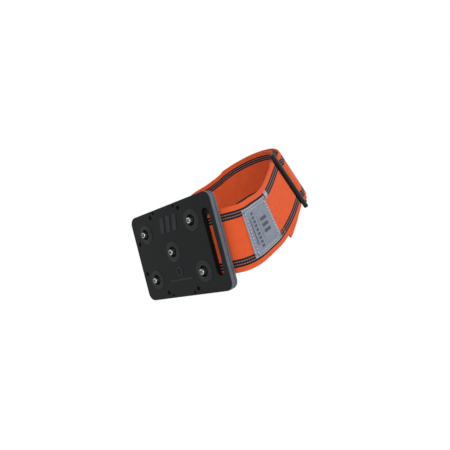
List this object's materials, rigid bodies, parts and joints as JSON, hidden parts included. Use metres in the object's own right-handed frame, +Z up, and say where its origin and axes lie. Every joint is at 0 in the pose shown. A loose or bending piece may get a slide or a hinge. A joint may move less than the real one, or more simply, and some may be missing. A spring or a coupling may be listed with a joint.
{
  "type": "shoe ice cleat",
  "caption": "Mid-sole ice cleat: a two-layer studded plate under the arch on a webbing strap that goes over the instep, with a three-bar buckle and a hook-and-loop tail.",
  "frame": {"origin": "centre of the base plate's face that rests against the shoe's sole", "axes": "+Z up into the shoe, so the studs point to -Z; +Y towards the heel; +X towards the outer side, which carries the label and the buckle"},
  "size_m": [0.1061, 0.1012, 0.1394],
  "materials": {
    "black_plastic": "moulded nylon, fine satin texture",
    "black_steel": "black oxide",
    "stud_steel": "turned, slightly worn",
    "carbide": "ground carbide",
    "webbing": "orange woven polyester with dark edge stripes",
    "buckle_plastic": "satin moulded acetal",
    "label_fabric": "grey coated label cloth",
    "label_stitch": "light grey thread",
    "strap_stitch": "orange thread",
    "closure_fabric": "black loop pile",
    "closure_plastic": "black hook tape"
  },
  "bodies": {
    "cleat": {"tread_plate": "black_plastic", "base_plate": "black_plastic", "plate_screws": "black_steel", "stud_1": "stud_steel", "stud_2": "stud_steel", "stud_3": "stud_steel", "stud_4": "stud_steel", "stud_5": "stud_steel", "carbide_pin_1": "carbide", "carbide_pin_2": "carbide", "carbide_pin_3": "carbide", "carbide_pin_4": "carbide", "carbide_pin_5": "carbide", "strap_under_run": "webbing", "strap_outer_side": "webbing", "strap_sewn_end": "webbing", "strap_buckle_loop": "webbing", "strap_instep_run": "webbing", "strap_inner_side": "webbing", "label_patch": "label_fabric", "label_thread": "label_stitch", "loop_thread": "strap_stitch", "loop_patch": "closure_fabric"},
    "buckle": {"buckle_frame": "buckle_plastic", "strap_fold": "webbing"},
    "tail": {"strap_tail": "webbing", "hook_patch": "closure_plastic"}
  },
  "joints": [
    {"name": "buckle_tilt", "type": "hinge", "parent": "cleat", "child": "buckle", "pos_m": [0.0458, -0.0328, 0.0891], "axis": [-0.11, -0.9054, -0.4102], "range_deg": [0, 18]},
    {"name": "tail_peel", "type": "hinge", "parent": "cleat", "child": "tail", "pos_m": [0.04334, -0.03677, 0.09847], "axis": [0.109, 0.9054, 0.4103], "range_deg": [0, 110]}
  ]
}
